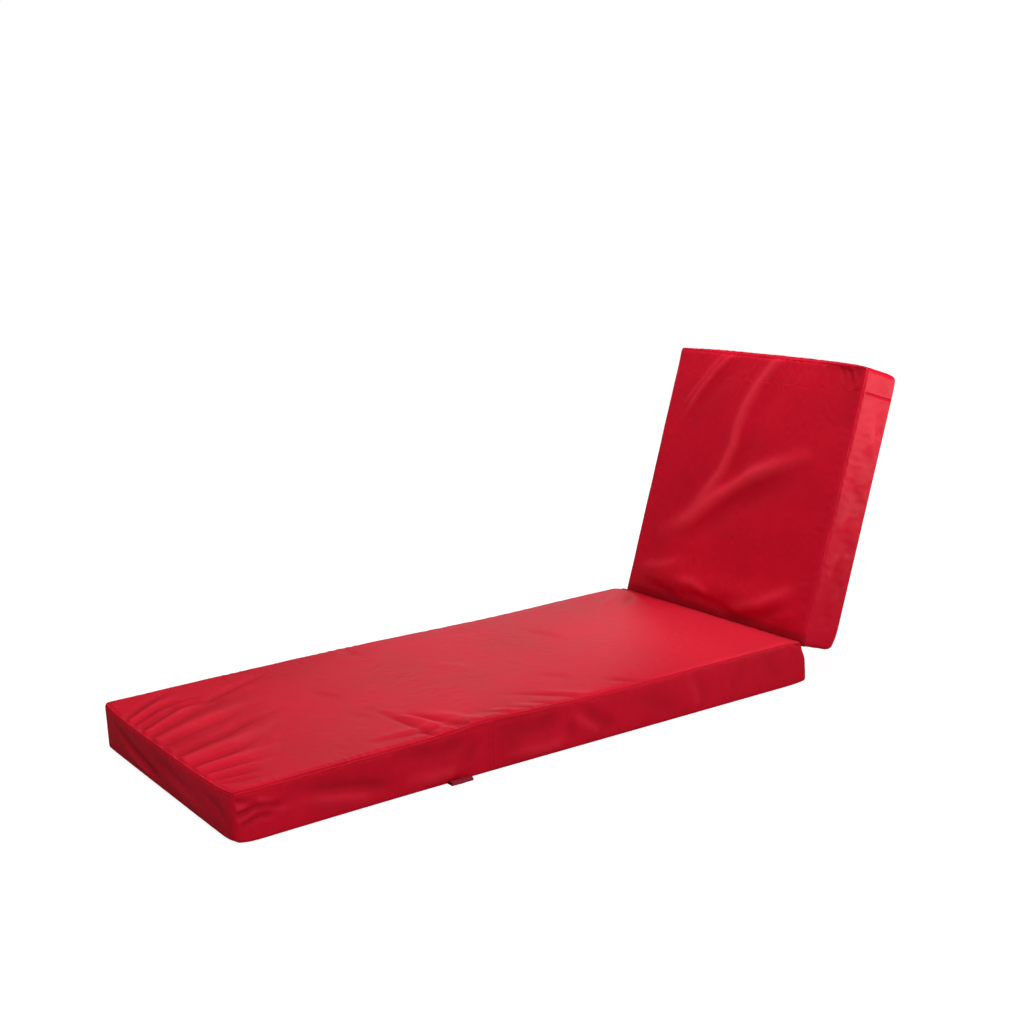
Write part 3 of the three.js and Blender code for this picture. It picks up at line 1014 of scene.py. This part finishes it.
# Colour of the sheen painted on ridges and on the seat's top before the hinge
CLOTH_PAINTED_SHEEN = (0.86, 0.034, 0.062, 1)
WEAVE_PITCH = 0.55 * MM
# How far the deeper tone beside a seam and the gathers of its cloth reach
SEAM_TONE_REACH = 7 * MM
GATHERS_REACH = 13 * MM


def cover_cloth():
    """Closely woven red polyester with a faint satin gloss, with shade painted into its folds, seam
    grooves and hinge crease and sheen painted on its ridges
    """
    cloth = Finish("cover_cloth")
    flat, place = cloth.flat_place(), cloth.solid_place()
    warp, weft = cloth.parts(flat)
    gap = cloth.attribute("from_seam")
    run = cloth.attribute("seam_run")
    gathered = cloth.attribute("gathered")
    painted_shade_share = cloth.attribute("painted_shade_share")
    painted_sheen_share = cloth.attribute("painted_sheen_share")

    # Over and under in a plain weave
    turn = math.pi / WEAVE_PITCH
    over, under = (warp * turn).sin(), (weft * turn).sin()
    checks = (over * under).above(0.0)
    weave = abs(over) * checks + abs(under) * (1 - checks)
    # Uneven threads both ways
    warp_slub = cloth.noise(cloth.stretched(flat, (40, 900, 1)), 1.0)
    weft_slub = cloth.noise(cloth.stretched(flat, (900, 40, 1)), 1.0)
    slub = warp_slub + weft_slub

    cloud = cloth.noise(place, 7.0, 4.0)
    fine = cloth.noise(place, 60.0, 3.0)
    near_seam = (gap * (-1 / SEAM_TONE_REACH)).exp()
    shade = (cloud * 0.9 + slub * 0.35 + fine * 0.25 - 0.32 + near_seam * 0.12).clamped()
    colour = cloth.blend(shade, CLOTH_DEEP, CLOTH_PALE)
    # Shade painted into the colour in fold troughs, cross-seam grooves and the hinge crease
    colour = cloth.blend((painted_shade_share * 0.85).clamped(), colour, CLOTH_PAINTED_SHADE)
    # Sheen painted into the colour as a paler pink on ridges and on the seat's top before the hinge
    colour = cloth.blend((painted_sheen_share * 0.5).clamped(), colour, CLOTH_PAINTED_SHEEN)
    rough = (0.34 + 0.12 * cloud + 0.04 * slub + 0.05 * weave + 0.3 * painted_shade_share).clamped()

    crumple = cloth.noise(place, 18.0, 4.0)
    along_seam = cloth.node("ShaderNodeCombineXYZ", X=run * 130.0, Y=gap * 24.0, Z=0.0).outputs[0]
    gathers = cloth.noise(along_seam, 1.0, 1.0) * (gap * (-1 / GATHERS_REACH)).exp() * gathered
    soft = cloth.bump(crumple, 1.2 * MM)
    puckered = cloth.bump(gathers, 2.2 * MM, soft)
    woven = cloth.bump(weave + slub * 0.4, 0.05 * MM, puckered)
    cloth.set(Base_Color=colour, Roughness=rough, Normal=woven, Specular_IOR_Level=0.1)
    return cloth.material


def thread():
    """Twisted sewing thread"""
    line = Finish("thread")
    twist = line.noise(line.solid_place(), 900.0)
    line.set(
        Base_Color=line.blend(twist, (0.44, 0.003, 0.015, 1), (0.60, 0.008, 0.026, 1)),
        Roughness=0.5,
        Normal=line.bump(twist, 0.1 * MM),
        Specular_IOR_Level=0.25,
    )
    return line.material


def webbing():
    """Ribbed webbing"""
    band = Finish("webbing")
    flat = band.flat_place()
    across, along = band.parts(flat)
    ribs = abs((across * (math.pi / (1.5 * MM))).sin())
    picks = abs((along * (math.pi / (0.9 * MM))).sin())
    mottle = band.noise(band.stretched(flat, (300, 300, 1)), 1.0)
    band.set(
        Base_Color=band.blend(mottle, (0.24, 0.006, 0.018, 1), (0.36, 0.012, 0.034, 1)),
        Roughness=(0.6 + 0.2 * mottle).clamped(),
        Normal=band.bump(ribs + picks * 0.4, 0.18 * MM),
        Specular_IOR_Level=0.2,
    )
    return band.material


def ribbon(name, path, width, steps, thickness, wave=lambda run, share: 0):
    """A strip of cloth that follows a path in X and Z and is as wide along Y, in so many steps.
    wave(run along the path, share of the width) shifts it along its own normal."""
    path = np.array(path)
    legs = np.linalg.norm(np.diff(path, axis=0), axis=1)
    run = np.concatenate([[0], np.cumsum(legs)])
    slope = np.gradient(path, run, axis=0)
    slope /= np.linalg.norm(slope, axis=1)[:, None]
    out = np.column_stack([-slope[:, 1], slope[:, 0]])
    out[0], out[-1] = out[1], out[-2]
    count = len(path)
    points, faces, flat = [], [], []
    for n in range(steps + 1):
        share = n / steps
        for side in (0.5, -0.5):
            for m in range(count):
                spot = path[m] + out[m] * (side * thickness + wave(run[m], share))
                points.append((spot[0], (share - 0.5) * width, spot[1]))
                flat.append((share * width, run[m]))
    ring = 2 * count
    for n in range(steps):
        a, b = n * ring, (n + 1) * ring
        for m in range(count - 1):
            faces.append((a + m, a + m + 1, b + m + 1, b + m))
            faces.append((a + count + m + 1, a + count + m, b + count + m, b + count + m + 1))
        faces.append((a, b, b + count, a + count))
        faces.append((b + count - 1, a + count - 1, a + ring - 1, b + ring - 1))
    for a, turned in ((0, False), (steps * ring, True)):
        for m in range(count - 1):
            face = (a + m + 1, a + m, a + count + m, a + count + m + 1)
            faces.append(tuple(reversed(face)) if turned else face)
    mesh = smooth_mesh(name, points, faces)
    lay_flat(mesh, [flat[c] for face in faces for c in face])
    return into_scene(name, mesh)


make_camera()

CLOTH = cover_cloth()
THREAD = thread()
WEBBED = webbing()
BODY = next(iter(frame["bodies"]))


def make_pad(name, pad):
    obj = lattice_mesh(name, pad)
    slack_cover(obj, pad)
    finish_pad(obj, pad)
    obj.data.materials.append(CLOTH)
    return obj


seat = make_pad("seat_cover", SEAT)
seat.data.transform(Matrix.Translation((-SEAT_LENGTH / 2, 0, 0)))

# The back pad stands up on its hinge line
back = make_pad("back_cover", BACK)
lean = Matrix.Rotation(-RECLINE, 4, "Y")
to_hinge = Matrix.Translation((HINGE_X, 0, HINGE_Z))
back.data.transform(to_hinge @ lean @ Matrix.Translation((0, 0, -THICKNESS)))
back.data.update()

for cover, node in ((seat, "seat_pad"), (back, "back_pad")):
    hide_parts(node)
    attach(cover, BODY)


def bent_path(corners, radius, steps):
    """A path through corners, with each inner one rounded unless it is nearly straight"""
    corners = [Vector(c) for c in corners]
    path = [corners[0]]
    for before, here, after in zip(corners, corners[1:], corners[2:]):
        back_way, on_way = (before - here).normalized(), (after - here).normalized()
        if back_way.angle(on_way) > NEARLY_STRAIGHT:
            path.append(here)
            continue
        cut = radius / math.tan(back_way.angle(on_way) / 2)
        first, last = here + back_way * cut, here + on_way * cut
        for n in range(steps + 1):
            t = n / steps
            path.append(first * (1 - t) ** 2 + here * 2 * t * (1 - t) + last * t**2)
    path.append(corners[-1])
    return [(p.x, p.y) for p in path]


# The joining strip: one leg down the seat's head end, the other out along the back pad
along_back = Vector((math.sin(RECLINE), -math.cos(RECLINE)))
inward = Vector((-math.cos(RECLINE), -math.sin(RECLINE)))
# It is sewn tight to both pads, so its hidden side lies a little inside their covers
strip_middle = GAP + STRIP_THICKNESS / 2 - STRIP_SEWN_IN
seat_line = SEAT_LENGTH / 2 + strip_middle
back_line_start = Vector((HINGE_X, HINGE_Z)) + inward * strip_middle
fold = back_line_start + along_back * ((seat_line - back_line_start.x) / along_back.x)
strip_path = bent_path(
    [
        (seat_line, fold.y - STRIP_LEG),
        (seat_line, fold.y - STRIP_LEG / 2),
        fold,
        fold + along_back * STRIP_LEG / 2,
        fold + along_back * STRIP_LEG,
    ],
    STRIP_FOLD_RADIUS,
    STRIP_FOLD_STEPS,
)
strip = ribbon("hinge_strip_cloth", strip_path, STRIP_WIDTH, STRIP_STEPS, STRIP_THICKNESS)
strip.data.materials.append(CLOTH)
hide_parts("hinge_strip")
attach(strip, BODY)

# The side loop: a folded piece of webbing whose two ends go in at the pad's lower edge
loop_foot_side = LOOP_FROM_FOOT - LOOP_WIDTH / 2
loop_y = -WIDTH / 2 + SEAT["sway"] * (1 - loop_foot_side / SEAT["sway_stretch"]) ** 2
nose = (LOOP_HEIGHT - WEBBING) / 2
nose_at = LOOP_REACH - LOOP_HEIGHT / 2
low_line, high_line = WEBBING / 2, LOOP_HEIGHT - WEBBING / 2


def band_edge(height):
    """Where the webbing starts at a height, clear of the pad's rounded lower edge"""
    r = EDGE_RADIUS
    bow = SEAT["side_bow"] * float(fullness(height, THICKNESS))
    return math.sqrt(r**2 - (r - height) ** 2) - r + bow + GAP + LOOP_CLEARANCE


def loop_wave(run, share):
    """The webbing bends a little across its width, and not where it leaves the band"""
    freed = math.sin(math.pi * min(run / LOOP_WAVE_REACH, 1))
    return LOOP_WAVE * math.sin(7 * share + 2) * freed


low_start, high_start = band_edge(WEBBING), band_edge(LOOP_HEIGHT)
straight = [n / LOOP_STEPS for n in range(LOOP_STEPS + 1)]
loop_path = [(low_start + (nose_at - low_start) * t, low_line) for t in straight[:-1]]
loop_path += [
    (nose_at + nose * math.cos(angle), LOOP_HEIGHT / 2 + nose * math.sin(angle))
    for angle in np.linspace(-math.pi / 2, math.pi / 2, NOSE_POINTS)
]
loop_path += [(nose_at + (high_start - nose_at) * t, high_line) for t in straight[1:]]
loop = ribbon("side_loop_webbing", loop_path, LOOP_WIDTH, LOOP_WIDTH_STEPS, WEBBING, loop_wave)
# Its path runs out from the near side, and its width along the pad
out_from_side = Matrix.Rotation(-math.pi / 2, 4, "Z")
loop_place = Matrix.Translation((LOOP_FROM_FOOT - SEAT_LENGTH / 2, loop_y, 0))
loop.data.transform(loop_place @ out_from_side)
loop.data.materials.append(WEBBED)
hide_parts("side_loop")
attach(loop, BODY)


def stitch_row(pad, mesh):
    """The points under a pad's topstitch in order round its band, with the way out of each"""
    place, co, normals = places_of(mesh), corners_of(mesh), normals_of(mesh)
    u, v, w = place.T
    half = WIDTH / 2
    on_row = abs(w - (THICKNESS - STITCH_DROP)) < ROW_TOLERANCE
    near, far = v < TINY - half, v > half - TINY
    end = from_free_end(pad, u) < TINY
    towards_hinge = from_free_end(pad, u)
    legs = []
    for panel, order in ((near, -towards_hinge), (end, v), (far, towards_hinge)):
        chosen = np.flatnonzero(on_row & panel)
        legs.append(chosen[np.argsort(order[chosen])])
    line = np.concatenate(legs)
    apart = np.linalg.norm(np.diff(co[line], axis=0), axis=1) > ROW_TOLERANCE
    line = line[np.concatenate([[True], apart])]
    return co[line], normals[line]


def one_stitch(spot, ahead, out):
    """A small round stitch: its rings of points, thin and sunk at both ends"""
    ahead /= np.linalg.norm(ahead)
    out -= ahead * (out @ ahead)
    out /= np.linalg.norm(out)
    side = np.cross(ahead, out)
    points = []
    for along, fat, lift in STITCH_PROFILE:
        centre = spot + ahead * along * STITCH_LENGTH + out * (lift * STITCH_THICKNESS)
        for m in range(STITCH_SIDES):
            angle = 2 * math.pi * m / STITCH_SIDES
            around = side * math.cos(angle) + out * math.sin(angle)
            points.append(tuple(centre + around * STITCH_THICKNESS * fat))
    return points


def topstitch(name, pad, cover):
    """Small stitches that lie along the row below a pad's seam"""
    line, normals = stitch_row(pad, cover.data)
    steps = np.linalg.norm(np.diff(line, axis=0), axis=1)
    run = np.concatenate([[0], np.cumsum(steps)])

    def at_run(rows, at):
        return np.array([np.interp(at, run, column) for column in rows.T])

    sides, rings = STITCH_SIDES, len(STITCH_PROFILE)
    points, faces = [], []
    for n in range(int(run[-1] / STITCH_PITCH)):
        at = (n + 0.5) * STITCH_PITCH
        spot = at_run(line, at)
        start = len(points)
        points += one_stitch(spot, at_run(line, at + 1 * MM) - spot, at_run(normals, at))
        for ring in range(rings - 1):
            first = start + ring * sides
            for m in range(sides):
                a, b = first + m, first + (m + 1) % sides
                faces.append((a, b, b + sides, a + sides))
        end = start + (rings - 1) * sides
        faces.append(tuple(range(start + sides - 1, start - 1, -1)))
        faces.append(tuple(range(end, end + sides)))
    mesh = smooth_mesh(name, points, faces)
    mesh.materials.append(THREAD)
    obj = into_scene(name, mesh)
    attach(obj, BODY)


topstitch("seat_topstitch", SEAT, seat)
topstitch("back_topstitch", BACK, back)

# Floor and light
WHITE = (1, 1, 1, 1)
BLACK = (0, 0, 0, 1)
FLOOR_REACH = 60.0
FLOOR_DROP = 0.5 * MM
floor_corners = [
    (x * FLOOR_REACH, y * FLOOR_REACH, -FLOOR_DROP)
    for x, y in ((-1, -1), (1, -1), (1, 1), (-1, 1))
]
floor_mesh = bpy.data.meshes.new("floor")
floor_mesh.from_pydata(floor_corners, [], [(0, 1, 2, 3)])
floor = into_scene("floor", floor_mesh)
# White paper to the eye that throws little light back, as in a room with dark walls
paper = Finish("floor_paper")
ray = paper.node("ShaderNodeLightPath")
seen = ray.outputs["Is Camera Ray"]
thrown_back = paper.blend(ray.outputs["Is Glossy Ray"], (0.5, 0.5, 0.5, 1), (0.08, 0.08, 0.08, 1))
paper.set(
    Base_Color=paper.blend(seen, thrown_back, (0.25, 0.25, 0.25, 1)),
    Roughness=0.9,
    Specular_IOR_Level=0.05,
    Emission_Color=paper.blend(seen, BLACK, WHITE),
    Emission_Strength=0.9,
)
floor_mesh.materials.append(paper.material)

# The room is white to the eye, dim as a lamp and dimmer still as a reflection
world = bpy.data.worlds.new("World")
bpy.context.scene.world = world
world.use_nodes = True
room = Nodes(world.node_tree)
sight = room.node("ShaderNodeLightPath")
eye = room.num(sight.outputs["Is Camera Ray"])
mirrored = room.num(sight.outputs["Is Glossy Ray"])
dim = 0.3 - 0.25 * mirrored
room.fill(world.node_tree.nodes["Background"], {"Color": WHITE, "Strength": eye + (1 - eye) * dim})


def softbox(name, at, aim, size, watts):
    data = bpy.data.lights.new(name, "AREA")
    data.shape = "RECTANGLE"
    data.size, data.size_y = size
    data.energy = watts
    lamp = into_scene(name, data)
    lamp.location = at
    lamp.rotation_euler = (Vector(aim) - Vector(at)).to_track_quat("-Z", "Y").to_euler()
    lamp.visible_camera = False
    return data


def sky_lamp(name, direction, strength, spread):
    data = bpy.data.lights.new(name, "SUN")
    data.energy = strength
    data.angle = math.radians(spread)
    lamp = into_scene(name, data)
    lamp.rotation_euler = (-Vector(direction)).to_track_quat("-Z", "Y").to_euler()


sky_lamp("front_fill", (0.15, -0.9, 0.42), 1.05, 50)
softbox("left_high", (-1.1, -0.5, 1.9), (0.1, 0, 0.15), (0.7, 0.7), 13)
softbox("overhead", (0.75, 0.0, 1.95), (0.4, 0, 0.1), (0.5, 0.5), 15)
softbox("far_high", (0.25, 2.0, 1.75), (0.6, 0, 0.3), (0.4, 0.4), 2.5)
softbox("right_far", (2.05, 2.3, 0.95), (0.2, 0, 0.1), (2.2, 1.0), 11)
band_light = softbox("right_front", (2.2, -1.7, 0.45), (0.85, -0.3, 0.8), (0.4, 0.4), 3)
band_light.spread = math.radians(44)

bpy.context.scene.view_settings.view_transform = "Standard"
